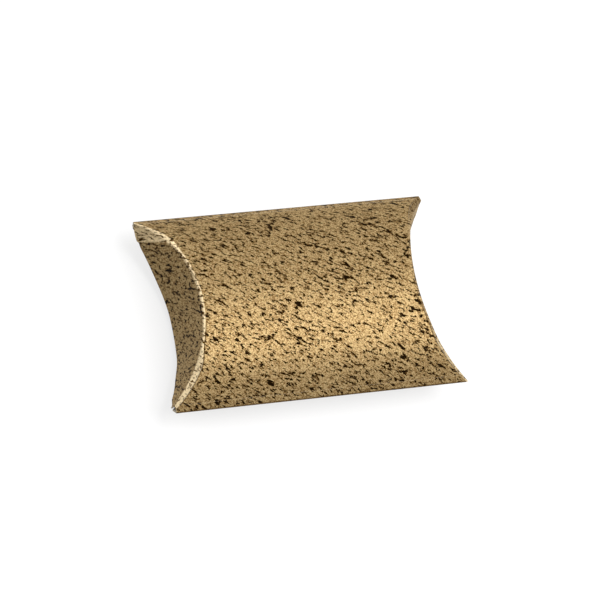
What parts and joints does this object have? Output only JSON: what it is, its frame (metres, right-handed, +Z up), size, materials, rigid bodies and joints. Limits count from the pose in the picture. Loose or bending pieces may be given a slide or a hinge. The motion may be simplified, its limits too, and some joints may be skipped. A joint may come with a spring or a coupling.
{
  "type": "favor box",
  "caption": "Pillow-shaped card favor box: a creased sleeve with bowed panels, closed at the ends by lens-shaped tuck flaps on curved creases.",
  "frame": {"origin": "on the surface the box lies on, under the middle of the bottom panel's belly line", "axes": "+X along the straight folds, towards the right end; +Y across the box, towards the fold with the glued seam; +Z up, out of the top panel"},
  "size_m": [0.105, 0.0701, 0.0268],
  "materials": {
    "printed_card": "satin",
    "glue": "matte"
  },
  "bodies": {
    "sleeve": {"top_panel": "printed_card", "bottom_panel": "printed_card", "front_fold": "printed_card", "rear_fold": "printed_card", "seam_tab": "printed_card", "seam_glue": "glue"},
    "right_outer": {"right_outer_flap": "printed_card"},
    "right_inner": {"right_inner_flap": "printed_card"},
    "left_outer": {"left_outer_flap": "printed_card"},
    "left_inner": {"left_inner_flap": "printed_card"}
  },
  "joints": [
    {"name": "right_outer_crease", "type": "hinge", "parent": "sleeve", "child": "right_outer", "pos_m": [0.0386, 0, 0.0268], "axis": [0, -1, 0], "range_deg": [0, 79.5]},
    {"name": "right_inner_crease", "type": "hinge", "parent": "sleeve", "child": "right_inner", "pos_m": [0.0386, 0, 0], "axis": [0, 1, 0], "range_deg": [0, 39.75]},
    {"name": "left_outer_crease", "type": "hinge", "parent": "sleeve", "child": "left_outer", "pos_m": [-0.0386, 0, 0.0268], "axis": [0, 1, 0], "range_deg": [0, 79.5]},
    {"name": "left_inner_crease", "type": "hinge", "parent": "sleeve", "child": "left_inner", "pos_m": [-0.0386, 0, 0], "axis": [0, -1, 0], "range_deg": [0, 39.75]}
  ],
  "couplings": [
    {"joint": "right_inner_crease", "follows": "right_outer_crease", "ratio": 0.5},
    {"joint": "left_inner_crease", "follows": "left_outer_crease", "ratio": 0.5}
  ]
}
